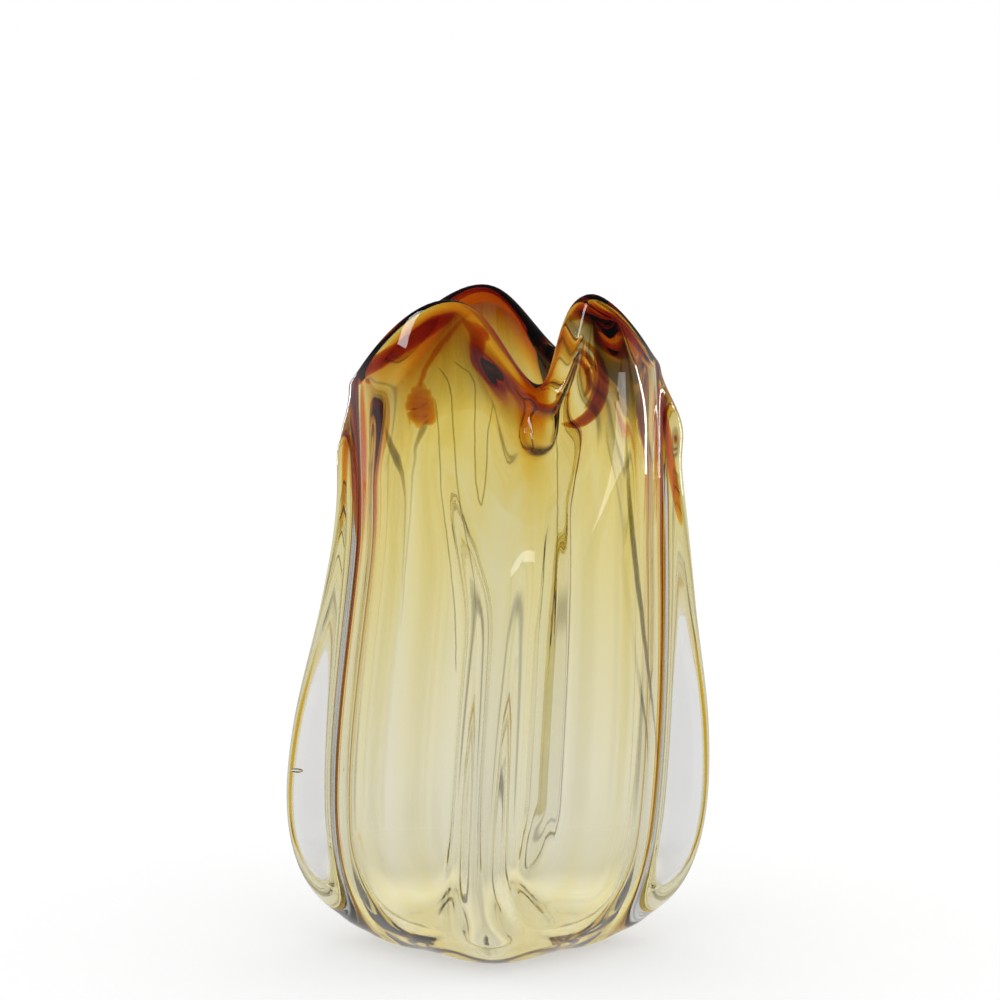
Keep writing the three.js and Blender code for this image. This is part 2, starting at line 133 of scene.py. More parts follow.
# Roll of the lip over the pinch
ROLL_AT = 1
ROLL_HALF_WIDTH = 17
ROLL_START = 7
ROLL_LENGTH = 14
ROLL_OUT = 3.4

# Folds beside the pinch: place to its right, half width, distance below the lip, half length and swell
FOLDS = [(-17, 10, 11, 10, 4.5), (19, 14, 26, 16, 5.5)]

# Faint upright waves of hand-shaped glass in the cavity's face: count round the vase, share and start
RIPPLE = 0.05
RIPPLE_MAIN = 21
RIPPLE_DRIFT = 0.9
RIPPLE_WAVES = [(34, 0.7, 1.3), (55, 0.4, 0.4)]
RIPPLE_HEIGHTS = (20, 60)
RIPPLE_BELOW_LIP = (50, 20)

# One long narrow flute in the cavity's face
FLUTE_TURN = -148
FLUTE_START = (60, 74)
FLUTE_END = (140, 160)
FLUTE_HALF_WIDTH = 2.6
FLUTE_DEPTH = 1.5

# Coloured glass starts a skin's depth inside the vessel's faces, and its layers keep a gap
SKIN = 0.06
LAYER_GAP = 0.1

# Dark lip glass: its depth by the distance below the lip, and where there is more or less of it
LIP_REACH = 46
DROP_REACH = 11
DARK_BELOW = [-8, 0, 5, 12, 20, 30, 42, 52]
DARK_DEPTH = [3.8, 3.8, 2.9, 1.2, 0.4, 0.17, 0.07, 0.07]
DARK_ROUNDING = 4
DARK_HALF_WIDTH = 9
DARK_BACK = 1.3
DARK_ROLL = 0.9
DARK_ROLL_AT = -15
DARK_IN_DROP = 0.1
DARK_LESS_IN_RIBS = 0.97
DARK_FREE_RIGHT = 18
DARK_FREE_LEFT = 20
LEAST_DARK = 0.05
LEAST_CASING = 1.5

# Amber lining: its thickness by the height, and where there is less of it
LINING_LEVELS = [6, 30, 60, 120, 180, 215, 240]
LINING_THICKNESS = [1.7, 1.0, 0.8, 1.5, 2.9, 4.2, 5.0]
LINING_END = 7
LINING_FADE = (22, 7)
# Less amber behind the drop: painted light, for the light that the drop bends in from around it
LINING_PAINTED_LIGHT_IN_DROP = 0.7
LINING_LESS_IN_RIBS = 0.75
LINING_RIB_HALF_WIDTH = 16
LINING_RIB_HEIGHTS = (150, 200)
LINING_COVER = 0.8
LEAST_LINING = 0.12
STREAKS = 0.16
STREAK_WAVES = [(9, 1.0, 1.1), (17, 0.7, 0.3), (31, 0.6, 2.0)]

# Orange glass inside the ribs: rib, heights, inner and outer face as shares of the rib, half widths
FINGERS = [
    ("left_tongue", LEFT_RIB, [18, 40, 150, 162, 172, 186, 206, 226], [0, 0, 0, 0, 0, 0, 0, 0],
     [0.0, 0.09, 0.10, 0.14, 0.35, 0.5, 0.55, 0.6], [0.6, 1.5, 2.6, 3.4, 4.2, 4.8, 4.6, 3.0]),
    ("left_shell", LEFT_RIB, [160, 172, 186, 200, 214, 226], [0.78, 0.72, 0.66, 0.62, 0.58, 0.5],
     [0.82, 0.80, 0.78, 0.78, 0.76, 0.6], [0.6, 2.0, 3.2, 3.6, 3.4, 2.4]),
    ("right_root", RIGHT_RIB, [18, 40, 150, 172, 190, 205, 212, 226], [0, 0, 0, 0, 0, 0, 0, 0],
     [0.0, 0.09, 0.10, 0.12, 0.14, 0.3, 0.5, 0.5], [0.6, 1.5, 2.8, 3.6, 4.0, 4.0, 3.8, 2.8]),
    ("right_leg", RIGHT_RIB, [168, 176, 186, 196, 204, 212, 218, 226],
     [0.72, 0.60, 0.52, 0.46, 0.40, 0.33, 0.25, 0.2], [0.84, 0.80, 0.76, 0.70, 0.64, 0.58, 0.5, 0.42],
     [1.2, 3.0, 4.2, 4.6, 4.6, 4.4, 4.0, 3.0])]
FINGER_GAP = 0.4
FINGER_REACH = 0.85
FINGER_COVER = 1.0
FINGER_BLUNTNESS = 14
LEAST_FINGER = 0.5

# Nested arcs in the right fold: middle, radii, first and last angle, count of spots, then half thicknesses
SWIRLS = [
    ("swirl_outer", (26, 231, 14, 17, 80, -100, 24), [0.5, 1.1, 1.8, 2.4, 2.6, 2.2, 1.0]),
    ("swirl_middle", (27, 231, 10.0, 12.5, 95, -60, 20), [0.4, 1.2, 1.4, 1.6, 1.4, 0.6]),
    ("swirl_inner", (28, 231, 6.2, 8.0, 110, -50, 16), [0.4, 1.0, 1.5, 1.4, 0.8])]
ROLL_EDGE = ("roll_edge", [(7, 225), (13, 223.5), (20, 223), (27, 225.5)], [0.5, 1.3, 1.5, 0.8])
SWIRL_FLATNESS = 0.55
SWIRL_STYLE = {"under": 2.2, "steps": 100, "sides": 16, "bluntness": 10}

# Veins of dark glass in the middle of the wall: spots across and up, half thicknesses and flatness
VEINS = [
    ("stem", [(-11, 256), (-17, 250), (-23, 243), (-28, 235), (-30, 228)], [0.5, 1.0, 1.3, 1.1, 1.4], 0.8),
    ("fleck", [(-30, 230), (-30, 225), (-30, 221), (-29, 216), (-29, 213)], [2.0, 5.0, 6.5, 6.0, 4.0], 0.25),
    ("left_curl", [(-14, 254), (-8, 247), (-8, 238), (-3, 231), (3, 226)], [0.8, 2.4, 3.0, 2.4, 1.0], 0.8),
    ("left_crest", [(-57, 227), (-54, 230), (-45, 236), (-35, 243.5), (-25, 251.5), (-15.5, 256)],
     [1, 3.2, 3.4, 3.2, 3.4, 1.5], 0.7),
    ("right_crest", [(26, 253), (33, 257), (42, 252), (50, 243), (57, 232)], [1.0, 3.4, 3.4, 2.6, 1.0], 0.7)]
VEIN_STYLE = {"under": 0, "steps": 80, "sides": 16, "bluntness": 8}

# Painted shade: dark lines under the front face that stand in for the dark images that the glass bends in:
# spots in the photograph's pixels, half thicknesses and flatness
FINE = [0.36]
PAINTED_SHADE_LINES = [
    ("loop", [(453, 371), (471, 383), (477, 395), (476, 428), (476, 456), (477, 488), (482, 509),
              (487, 482), (489, 438), (494, 411)], FINE, 1.0),
    ("funnel", [(440, 378), (449, 389), (453, 404), (454, 428), (459, 500), (467, 540), (474, 573),
                (476, 607)], FINE, 1.0),
    ("edge", [(437, 407), (440, 438), (442, 495), (449, 545), (456, 607), (457, 670)], FINE, 1.0),
    ("left", [(430, 428), (424, 438), (418, 452), (414, 482), (412, 518), (406, 581), (402, 634)],
     [0.8, 1.6, 1.0, 0.6, 0.5, 0.4, 0.3], 0.3),
    ("far_left", [(386, 436), (391, 452), (398, 468), (404, 482), (407, 505), (406, 540), (403, 600)],
     [0.3, 1.8, 2.4, 1.2, 0.6, 0.5, 0.3], 0.3),
    ("far_right", [(624, 446), (627, 500), (632, 554), (639, 612), (646, 667), (653, 724), (659, 781)],
     [0.6, 1.4, 2.0, 2.0, 1.7, 1.3, 0.5], 0.35),
    ("right", [(555, 446), (556, 489), (556, 540), (553, 600)], FINE, 1.0)]
LINE_STYLE = {"under": 1.2, "steps": 120, "sides": 8, "bluntness": 20}

# How much a vein's route, its way out of the wall and its path are smoothed
ROUTE_SMOOTHING = 10
WAY_SMOOTHING = 6
PATH_SMOOTHING = 4

# A small air bubble in the left rib
BUBBLE_AT = np.array([-79.5, 0.0, 70.0])
BUBBLE_HALF = np.array([2.4, 0.9, 0.9])
BUBBLE_STEPS = 16

# Mesh counts: places to each rib, rows, and rows over the lip's edge
VESSEL_MESH = (52, 120, 12)
LINING_MESH = (48, 120)
LINING_MESH_QUICK = (32, 80)
LIP_MESH = (110, 60, 8)
LIP_MESH_QUICK = (72, 40, 8)

# What the photograph's pixels mean in millimetres on the front wall, seen from a rise of 9 degrees
MM_PER_PIXEL = 0.3976
MIDDLE_PIXEL = (499, 609.4)
MIDDLE_HEIGHT = 135
FRONT_DEPTH = 52
RISE_SINE = 0.156
RISE_COSINE = 0.9877

# Camera, in metres and degrees, with its sensor in millimetres
FRAME_WIDTH = 0.3976
CAMERA_DISTANCE = 1.8
CAMERA_RISE = 9.0
CAMERA_AIM = (0.00047, 0.0002, 0.135)
CAMERA_SHIFT = (0.001, 0.1094)
SENSOR_WIDTH = 36

# What red, green and blue lose in each millimetre of glass
CLEAR_LOSS = (0.0045, 0.0045, 0.0050)
AMBER_LOSS = (0.007, 0.034, 0.20)
DARK_LOSS = (0.14, 0.50, 1.7)
WINE_LOSS = (0.40, 1.1, 3.0)
ORANGE_LOSS = (0.035, 0.24, 1.4)
# Painted shade: the dark tint of the lines under the front face
PAINTED_SHADE_LOSS = (0.85, 0.92, 1.25)
GLASS_IOR = 1.5
MM_PER_METRE = 1000

# Floor, in metres: its lift is light of its own, with more to the camera; to the glass near the vase the
# lift is a painted pool of light in place of the vase's shadow
FLOOR_HALF = 6
FLOOR_DROP = 0.0003
FLOOR_COLOUR = 0.56
FLOOR_LIFT = 0.22
FLOOR_PAINTED_LIGHT_UNDER = 0.62
FLOOR_PAINTED_LIGHT_REACH = (0.05, 0.13)
FLOOR_DIRECT = 0.25

# Room and light ring, in metres: a dark card has its turn from the back, half width and level
WHITE_LEVEL = 1.0
ROOM_LEVEL = 0.08
TENT_RADIUS = 0.22
TENT_SIDES = 128
TENT_TOP = 0.30
TENT_FADE = 0.17
TENT_CLEAR = 0.03
TENT_LEVEL = 0.80
TENT_FOOT = 0.76
TENT_FRONT = 0.45
TENT_CARDS = [(34, 1.5, 0.35), (92, 2.5, 0.05), (125, 3, 0.05)]
CARD_EDGE = 4
LEFT_CARDS = 0.7

# Lamps, in metres: turn from the back to the viewer's right, rise, target, distance, size and watts
LAMPS = [
    ("left_window", -103, 24, (-0.02, -0.03, 0.24), 1.3, (0.32, 0.9), 7),
    ("right_window", 120, -10, (0.045, -0.03, 0.225), 0.14, (0.075, 0.03), 0.028),
    ("rib_strip", 57, -6, (0.055, -0.02, 0.22), 0.12, (0.01, 0.06), 0.02),
    ("left_strip", -35, -4, (-0.06, 0.0, 0.215), 0.12, (0.01, 0.06), 0.02)]

# Sockets of a Mix node's two values and its result, by the kind of value
MIX_SOCKETS = {"FLOAT": (2, 3, 0), "RGBA": (6, 7, 2)}

# The CAD node that a piece stands for, and its material slot
CASING = ("clear_casing", "clear_glass")
LINING = ("amber_lining", "amber_glass")
LIP = ("lip_wrap", "dark_amber_glass")


# Curves

def ease(start, end, x):
    """A smooth step from 0 at the start to 1 at the end."""
    share = np.clip((x - start) / (end - start), 0, 1)
    return share * share * (3 - 2 * share)


def bell(distance, half_width, power=FULL_BELL):
    """1 in the middle, falling away past the half width."""
    return np.exp(-(np.abs(distance) / half_width) ** power)


def table(x, knots, values, reach, samples=9, fall=0.8):
    """A table's value with its corners rounded over a reach to each side."""
    steps = np.linspace(-1, 1, samples)
    weights = 1 - fall * np.abs(steps)
    total = sum(weight * np.interp(x + reach * step, knots, values) for weight, step in zip(weights, steps))
    return total / weights.sum()


def wave_sum(angle, wave_list):
    """A sum of waves round the vase, each with its count, share and start."""
    return sum(share * np.sin(count * angle + start) for count, share, start in wave_list)


def round_ends(steps, bluntness=2):
    """Thickness of a body along its length between two rounded ends, with 2 for a ball."""
    return np.sqrt(np.clip(1 - np.abs(np.linspace(-1, 1, steps)) ** bluntness, 0, 1))


def turns(sides):
    """Angles evenly round a circle."""
    return [2 * math.pi * side / sides for side in range(sides)]


def smoothed(path, times):
    """A path with its corners averaged away."""
    path = path.copy()
    for _ in range(times):
        path[1:-1] = (path[:-2] + 2 * path[1:-1] + path[2:]) / 4
    return path


def station_shares(eighths):
    """Each station's share at places round the vase: waves that pass through every station's value."""
    away = eighths[:, None] - np.arange(STATIONS)[None, :]
    away = away - STATIONS * np.round(away / STATIONS)
    near = np.abs(away) < 1e-9
    away = np.where(near, 0.5, away)
    return np.where(near, 1.0, np.sin(np.pi * away) / (STATIONS * np.tan(np.pi * away / STATIONS)))


def body_curve(x):
    """Cubic B-spline through the body's points."""
    points = np.concatenate([2 * BODY[:1] - BODY[1:2], BODY, 2 * BODY[-1:] - BODY[-2:-1]])
    i = np.minimum(x.astype(int), len(BODY) - 2)
    f = (x - i)[:, None]
    weights = ((1 - f) ** 3, 3 * f ** 3 - 6 * f ** 2 + 4, -3 * f ** 3 + 3 * f ** 2 + 3 * f + 1, f ** 3)
    return sum(weight * points[i + k] for k, weight in enumerate(weights)) / 6


def swing(height, sway, turn):
    """How far a place has swung round at a height: by its sway in the body, by its turn at the lip."""
    top = ease(*TURN_HEIGHTS, height)
    return np.radians(sway * ease(*SWAY_HEIGHTS, height) * (1 - top) + turn * top)


def near_lip(place, start, end):
    """A smooth step from 0 to 1 while the way left to the lip's edge goes from start to end."""
    return ease(place.length - start, place.length - end, place.run)


# Form of the vase

class Wall:
    """The wall's middle line at places round the vase, counted in eighths of a turn from the front rib."""

    def __init__(self, eighths, steps=900):
        shares = station_shares(eighths)
        stations = (LIP_RADIUS, LIP_HEIGHT, LIP_TURN, LIP_TUCK, BODY_SWAY)
        lip_radius, lip_height, turn, tuck, sway = (shares @ np.array(values, float) for values in stations)
        tuck = np.radians(tuck)
        body = body_curve(np.linspace(0, len(BODY) - 1, steps))
        neck = body[-1]
        way = (body[-1] - body[-2]) / np.linalg.norm(body[-1] - body[-2])
        t = np.linspace(0, 1, steps)[1:, None]
        span = np.hypot(lip_radius - neck[0], lip_height - neck[1])
        at_neck, from_neck = 2 * t ** 3 - 3 * t ** 2 + 1, span * (t ** 3 - 2 * t ** 2 + t)
        at_lip, to_lip = 3 * t ** 2 - 2 * t ** 3, span * (t ** 3 - t ** 2)
        radius = at_neck * neck[0] + from_neck * way[0] + at_lip * lip_radius - to_lip * np.sin(tuck)
        height = at_neck * neck[1] + from_neck * way[1] + at_lip * lip_height + to_lip * np.cos(tuck)
        one = np.ones(len(eighths))
        self.radius = np.concatenate([body[:, :1] * one, radius])
        self.height = np.concatenate([body[:, 1:] * one, height])
        step = np.hypot(np.diff(self.radius, axis=0), np.diff(self.height, axis=0))
        self.run = np.concatenate([0 * one[None], np.cumsum(step, 0)])
        self.length = self.run[-1]
        outward, upward = np.gradient(self.radius, axis=0), np.gradient(self.height, axis=0)
        size = np.hypot(outward, upward)
        self.face_out, self.face_up = upward / size, -outward / size
        self.angle = -np.pi / 2 + eighths * np.pi / 4 + swing(self.height, sway, turn)

    def at(self, run):
        """The wall at lengths along its middle line, one row of lengths for each place round it."""
        place = SimpleNamespace(run=run, length=self.length[:, None])
        for name in ("radius", "height", "face_out", "face_up", "angle"):
            values = getattr(self, name)
            rows = [np.interp(lengths, self.run[:, j], values[:, j]) for j, lengths in enumerate(run)]
            setattr(place, name, np.stack(rows))
        size = np.hypot(place.face_out, place.face_up)
        place.face_out = place.face_out / size
        place.face_up = place.face_up / size
        into = np.clip(run - (place.length - LIP_HALF), 0, LIP_HALF) / LIP_HALF
        place.roundness = np.sqrt(np.clip(1 - into ** 2, 0, 1))
        place.half = BODY_HALF + (LIP_HALF - BODY_HALF) * near_lip(place, *THICKEN_BELOW_LIP)
        return place


def rib_distance(place, rib, turn=None):
    """Distance round the wall to a rib's line, or to a line that takes another turn at the lip."""
    turn = RIB_TURN[rib] if turn is None else turn
    line = (rib - 1) * np.pi / 2 + swing(place.height, BODY_SWAY[2 * rib], turn)
    off = place.angle - line
    return np.arctan2(np.sin(off), np.cos(off)) * np.maximum(place.radius, LEAST_RADIUS)


def pinch_distance(place):
    """Distance round the wall to the pinch of the lip, under which the drop hangs."""
    return rib_distance(place, FRONT_RIB, LIP_TURN[0])


def rib_fade(place, rib):
    """How far a rib has run out below the lip."""
    if rib == FRONT_RIB:
        return ease(*FRONT_FADE_HEIGHTS, place.height)
    return near_lip(place, *SIDE_FADE_BELOW_LIP)


def rib_height(place):
    """How far the ribs stand out from the wall."""
    foot_spread = 1 - ease(0, FOOT_RIB_SPREAD_TOP, place.height)
    front_spread = FRONT_RIB_SPREAD * ease(*FRONT_RIB_SPREAD_HEIGHTS, place.height)
    right_shoulder = RIGHT_SHOULDER * ease(*RIGHT_SHOULDER_HEIGHTS, place.height)
    out = table(place.height, RIB_LEVELS, RIB_OUT, TABLE_ROUNDING)
    total = 0
    for rib, strength in enumerate(RIB_STRENGTH):
        strength = strength * (1 + right_shoulder * (rib == RIGHT_RIB))
        wide = 1 + FOOT_RIB_SPREAD * foot_spread + front_spread * (rib == FRONT_RIB)
        width = bell(rib_distance(place, rib), RIB_HALF_WIDTH * wide, FULL_BELL - foot_spread)
        total = total + out * strength * width * (1 - RIB_FADE * rib_fade(place, rib))
    return total * np.where(place.height < FOOT_TOP, ease(*FOOT_RIB_RADII, place.radius), 1)


def groove(place):
    """Depth of the grooves behind the ribs."""
    total = 0
    for rib, depth in enumerate(GROOVE_DEPTHS):
        total = total + depth * bell(rib_distance(place, rib), GROOVE_HALF_WIDTH, ROUND_BELL)
    return total * ease(*GROOVE_HEIGHTS, place.height) * (1 - near_lip(place, *GROOVE_BELOW_LIP))


def drop(place):
    """Share of the hanging drop: a tongue with steep sides and a round end under the lip's roll."""
    start = near_lip(place, DROP_LENGTH, DROP_BELLY_LOW)
    thin = DROP_THINNING * near_lip(place, DROP_BELLY_HIGH, DROP_TOP)
    return bell(pinch_distance(place), DROP_HALF_WIDTH, STEEP_BELL) * start * (1 - thin)


def roll(place):
    """The lip rolls outwards round the pinch, and a round fold swells at each side of it."""
    across = pinch_distance(place)
    below = place.length - place.run
    rim = bell(across - ROLL_AT, ROLL_HALF_WIDTH, STEEP_BELL) * (1 - ease(ROLL_START, ROLL_LENGTH, below))
    total = ROLL_OUT * rim
    for middle, half_width, under, half_length, out in FOLDS:
        wide = bell(across - middle, half_width, ROUND_BELL)
        total = total + out * wide * bell(below - under, half_length, ROUND_BELL)
    return total


def stand(place, radius, height):
    """Points from radius and height, with the slight lean of the upper part."""
    radius = np.maximum(radius, 0)
    lean = LEAN_FROM + LEAN_BY * ease(*LEAN_HEIGHTS, place.height)
    return np.stack([radius * np.cos(place.angle) + lean, radius * np.sin(place.angle), height], -1)


def outer_face(wall, run):
    """The outer face, with ribs, drop, roll and the ground foot with its hollow."""
    place = wall.at(run)
    hanging = drop(place)
    low = place.height < FOOT_TOP
    push = np.maximum(place.face_out, np.where(low, FOOT_RIB_PUSH, 0))
    thick = place.half + roll(place)
    out = place.face_out * thick + push * rib_height(place) + hanging * DROP_OUT
    up = place.face_up * thick - hanging * DROP_HANG
    radius = place.radius + out * place.roundness
    height = place.height + up * place.roundness
    edge = FOOT_RADIUS + FOOT_DIAMOND * np.cos(RIBS * place.angle)
    rise = ease(edge - FOOT_EDGE_IN, edge + FOOT_EDGE_OUT, radius)
    hollow = HOLLOW_DEPTH * (1 - ease(*HOLLOW_RADII, place.radius))
    foot = np.maximum(hollow, np.maximum(0, height) * rise)
    return stand(place, radius, np.where(low, foot, height))


def middle_face(wall, run):
    """Points in the middle of the wall."""
    place = wall.at(run)
    return stand(place, place.radius, place.height)


def flute(place):
    """Depth of the long narrow flute in the cavity's face."""
    across = (place.angle - math.radians(FLUTE_TURN)) * place.radius
    ends = ease(*FLUTE_START, place.height) * (1 - ease(*FLUTE_END, place.height))
    return FLUTE_DEPTH * bell(across, FLUTE_HALF_WIDTH, ROUND_BELL) * ends


def ripple(place):
    """Depth of the faint upright waves in the cavity's face."""
    main = np.sin(RIPPLE_MAIN * place.angle + RIPPLE_DRIFT * np.sin(2 * place.angle))
    fade = ease(*RIPPLE_HEIGHTS, place.height) * (1 - near_lip(place, *RIPPLE_BELOW_LIP))
    return RIPPLE * (main + wave_sum(place.angle, RIPPLE_WAVES)) * fade


def inside(place, depth):
    """Points a depth inwards of the wall's middle line."""
    return stand(place, place.radius - place.face_out * depth, place.height - place.face_up * depth)


def layer(wall, run, away):
    """Points in the wall, as far from the cavity's face as the function says."""
    place = wall.at(run)
    depth = place.half - groove(place) - flute(place) - ripple(place) - away(place)
    return inside(place, depth * place.roundness)


# Layers of glass, as columns of points

def at_cavity(place):
    """On the cavity's face."""
    return 0


def at_skin(place):
    """A skin's depth from the cavity's face."""
    return SKIN


def lip_depth(place):
    """How deep the dark lip glass reaches into the wall from the cavity's face."""
    across = pinch_distance(place)
    below = place.length - place.run - DROP_REACH * bell(across, DARK_HALF_WIDTH)
    back = DARK_BACK * np.clip(np.sin(place.angle), 0, 1)
    more = 1 + back + DARK_ROLL * bell(across - DARK_ROLL_AT, DARK_HALF_WIDTH)
    right = bell(rib_distance(place, RIGHT_RIB), DARK_FREE_RIGHT, ROUND_BELL)
    left = bell(rib_distance(place, LEFT_RIB), DARK_FREE_LEFT, ROUND_BELL)
    less = 1 - DARK_LESS_IN_RIBS * (right + left)
    deep = table(below, DARK_BELOW, DARK_DEPTH, DARK_ROUNDING) * more * less
    deep = np.maximum(deep * (1 + DARK_IN_DROP * drop(place)), LEAST_DARK)
    return SKIN + np.minimum(deep, 2 * place.half - LEAST_CASING)


def lining_start(place):
    """Where the lining begins, just past the dark lip glass."""
    return lip_depth(place) + LAYER_GAP


def lining_depth(place):
    """How deep the amber lining reaches, with faint upright streaks, less of it in the side ribs, and less
    behind the drop as painted light.
    """
    side_ribs = 0
    for rib in (RIGHT_RIB, LEFT_RIB):
        side_ribs = side_ribs + bell(rib_distance(place, rib), LINING_RIB_HALF_WIDTH, ROUND_BELL)
    less = 1 - LINING_LESS_IN_RIBS * ease(*LINING_RIB_HEIGHTS, place.height) * side_ribs
    # Painted light: the lining thins behind the drop so that the drop looks paler
    less = less * (1 - LINING_PAINTED_LIGHT_IN_DROP * drop(place))
    thick = table(place.height, LINING_LEVELS, LINING_THICKNESS, TABLE_ROUNDING) * less
    thick = thick * (1 + STREAKS * wave_sum(place.angle, STREAK_WAVES))
    room = 2 * place.half - lip_depth(place) - LINING_COVER
    thick = np.minimum(thick, np.maximum(room, LEAST_LINING))
    thick = thick * (1 - near_lip(place, *LINING_FADE))
    return lining_start(place) + np.maximum(thick, LEAST_LINING)


def places(per_rib, evenness=0.75):
    """Places round the vase in eighths of a turn, closer together at the ribs than in the panels."""
    side = 2 * np.arange(per_rib) / per_rib - 1
    one = evenness * side + (1 - evenness) * side ** 3
    return np.concatenate([2 * rib + one for rib in range(RIBS)])


def over_edge(edge, reach, rows):
    """Lengths along the wall over the lip's round edge."""
    return edge + reach * np.sin(np.linspace(0, np.pi / 2, rows + 1)[None, 1:])


def vessel_points(per_rib, rows, cap, evenness=0.85):
    """Outer face and cavity's face as one closed surface, with its rows closest together in the foot."""
    wall = Wall(places(per_rib))
    share = np.linspace(0, 1, rows)[None, :]
    share = evenness * share + (1 - evenness) * share ** 2
    edge = wall.length[:, None] - LIP_HALF
    run = np.concatenate([share * edge, over_edge(edge, LIP_HALF, cap)], 1)
    up = outer_face(wall, run)
    down = layer(wall, run, at_cavity)[:, ::-1][:, 1:]
    return np.concatenate([up, down], 1)


def lining_points(per_rib, rows):
    """The amber lining as one closed surface."""
    wall = Wall(places(per_rib))
    run = np.linspace(0, 1, rows)[None, :] * (wall.length[:, None] - LINING_END)
    up = layer(wall, run, lining_depth)
    down = layer(wall, run, lining_start)[:, ::-1][:, 1:]
    return np.concatenate([up, down], 1)


def lip_points(per_rib, rows, cap):
    """The dark lip glass as one closed ring."""
    wall = Wall(places(per_rib))
    start = wall.length[:, None] - LIP_REACH - DROP_REACH
    edge = wall.length[:, None] - LIP_HALF
    body = start + (edge - start) * np.linspace(0, 1, rows)[None, :]
    run = np.concatenate([body, over_edge(edge, LIP_HALF - LAYER_GAP, cap)], 1)
    up = layer(wall, run, lip_depth)
    down = layer(wall, run, at_skin)[:, ::-1]
    return np.concatenate([up, down[:, 1:-1]], 1)


# Glass inside the wall, as columns of points

def finger_points(rib, heights, inner, outer, half_widths, steps=90, sides=24):
    """Glass drawn down inside a rib, between two shares of the way from the lining to the rib's edge."""
    wall = Wall(np.array([2.0 * rib]))
    height = np.linspace(heights[0], heights[-1], steps)
    run = np.interp(height, np.maximum.accumulate(wall.height[:, 0]), wall.run[:, 0])[None, :]
    place = wall.at(run)
    root = lining_depth(place) + FINGER_GAP
    span = 2 * place.half + FINGER_REACH * rib_height(place) - FINGER_COVER - root
    span = np.maximum(span, LEAST_FINGER)
    low = root + span * np.interp(height, heights, inner)[None, :]
    high = root + span * np.interp(height, heights, outer)[None, :]
    ends = round_ends(steps, FINGER_BLUNTNESS)[None, :]
    middle, half = (low + high) / 2, (high - low) / 2 * ends
    width = np.interp(height, heights, half_widths)[None, :] * ends
    columns = []
    for turn in turns(sides):
        spots = inside(place, place.half - groove(place) - (middle + half * math.cos(turn)))
        across = width * math.sin(turn)
        spots[..., 0] -= across * np.sin(place.angle)
        spots[..., 1] += across * np.cos(place.angle)
        columns.append(spots[0])
    return np.array(columns)


class Sheet:
    """A face of the front wall as a grid of points, two stations wide to each side of the front rib."""

    def __init__(self, face, across=401, rows=400, low=0.3, high=0.99):
        wall = Wall(np.linspace(-2, 2, across))
        self.spots = face(wall, np.linspace(low, high, rows)[None, :] * wall.length[:, None])

    def find(self, x, z):
        """The place at x and z, with its way out of the wall."""
        within = self.spots[1:-1, 1:-1]
        away = (within[..., 0] - x) ** 2 + (within[..., 2] - z) ** 2
        i, j = np.unravel_index(np.argmin(away), away.shape)
        i, j = i + 1, j + 1
        up = self.spots[i, j + 1] - self.spots[i, j - 1]
        up = up / np.linalg.norm(up)
        side = self.spots[i + 1, j] - self.spots[i - 1, j]
        side = side - up * (side @ up)
        side = side / np.linalg.norm(side)
        return self.spots[i, j], np.cross(side, up)


def vein_points(sheet, spots, radii, flatness, under, steps, sides, bluntness):
    """A vein of glass some way under a face of the front wall, through spots given across and up."""
    knots = np.arange(len(spots))
    t = np.linspace(0, len(spots) - 1, steps)
    route = np.stack([np.interp(t, knots, values) for values in zip(*spots)], 1)
    found = [sheet.find(x, z) for x, z in smoothed(route, ROUTE_SMOOTHING)]
    out = smoothed(np.array([way for _, way in found]), WAY_SMOOTHING)
    path = smoothed(np.array([spot for spot, _ in found]) - under * out, PATH_SMOOTHING)
    along = np.gradient(path, axis=0)
    along = along / np.linalg.norm(along, axis=1)[:, None]
    flat = np.cross(out, along)
    flat = flat / np.linalg.norm(flat, axis=1)[:, None]
    radii = np.interp(np.linspace(0, 1, len(spots)), np.linspace(0, 1, len(radii)), radii)
    thick = (np.interp(t, knots, radii) * round_ends(steps, bluntness))[:, None]
    columns = []
    for turn in turns(sides):
        columns.append(path + thick * math.cos(turn) * flat + flatness * thick * math.sin(turn) * out)
    return np.array(columns)


def arc_spots(across, up, radius_across, radius_up, first, last, count):
    """Spots along an upright arc, from one angle to another."""
    angles = np.radians(np.linspace(first, last, count))
    return [(across + radius_across * math.cos(a), up + radius_up * math.sin(a)) for a in angles]


def photo_spot(x, y):
    """Millimetres across and up of a pixel of the photograph, on the front wall."""
    across = (x - MIDDLE_PIXEL[0]) * MM_PER_PIXEL
    up = ((MIDDLE_PIXEL[1] - y) * MM_PER_PIXEL + RISE_SINE * FRONT_DEPTH) / RISE_COSINE
    return across, MIDDLE_HEIGHT + up


def bubble_points():
    """The air bubble, longest across."""
    along = np.linspace(-1, 1, BUBBLE_STEPS)
    size = round_ends(BUBBLE_STEPS)
    columns = []
    for turn in turns(BUBBLE_STEPS):
        ball = np.stack([size * math.cos(turn), size * math.sin(turn), along], 1)
        columns.append(BUBBLE_AT + BUBBLE_HALF * ball)
    return np.array(columns)


# Meshes

def fitted(points):
    """Millimetres of the form to metres of the frame, kept within the CAD part's box."""
    low, high = np.array(CAD_BOX[0]), np.array(CAD_BOX[1])
    share = (points - FORM_LOW) / (FORM_HIGH - FORM_LOW)
    return low + share * (high - low)


def add_object(name, data):
    """A new object in the scene."""
    obj = bpy.data.objects.new(name, data)
    bpy.context.scene.collection.objects.link(obj)
    return obj


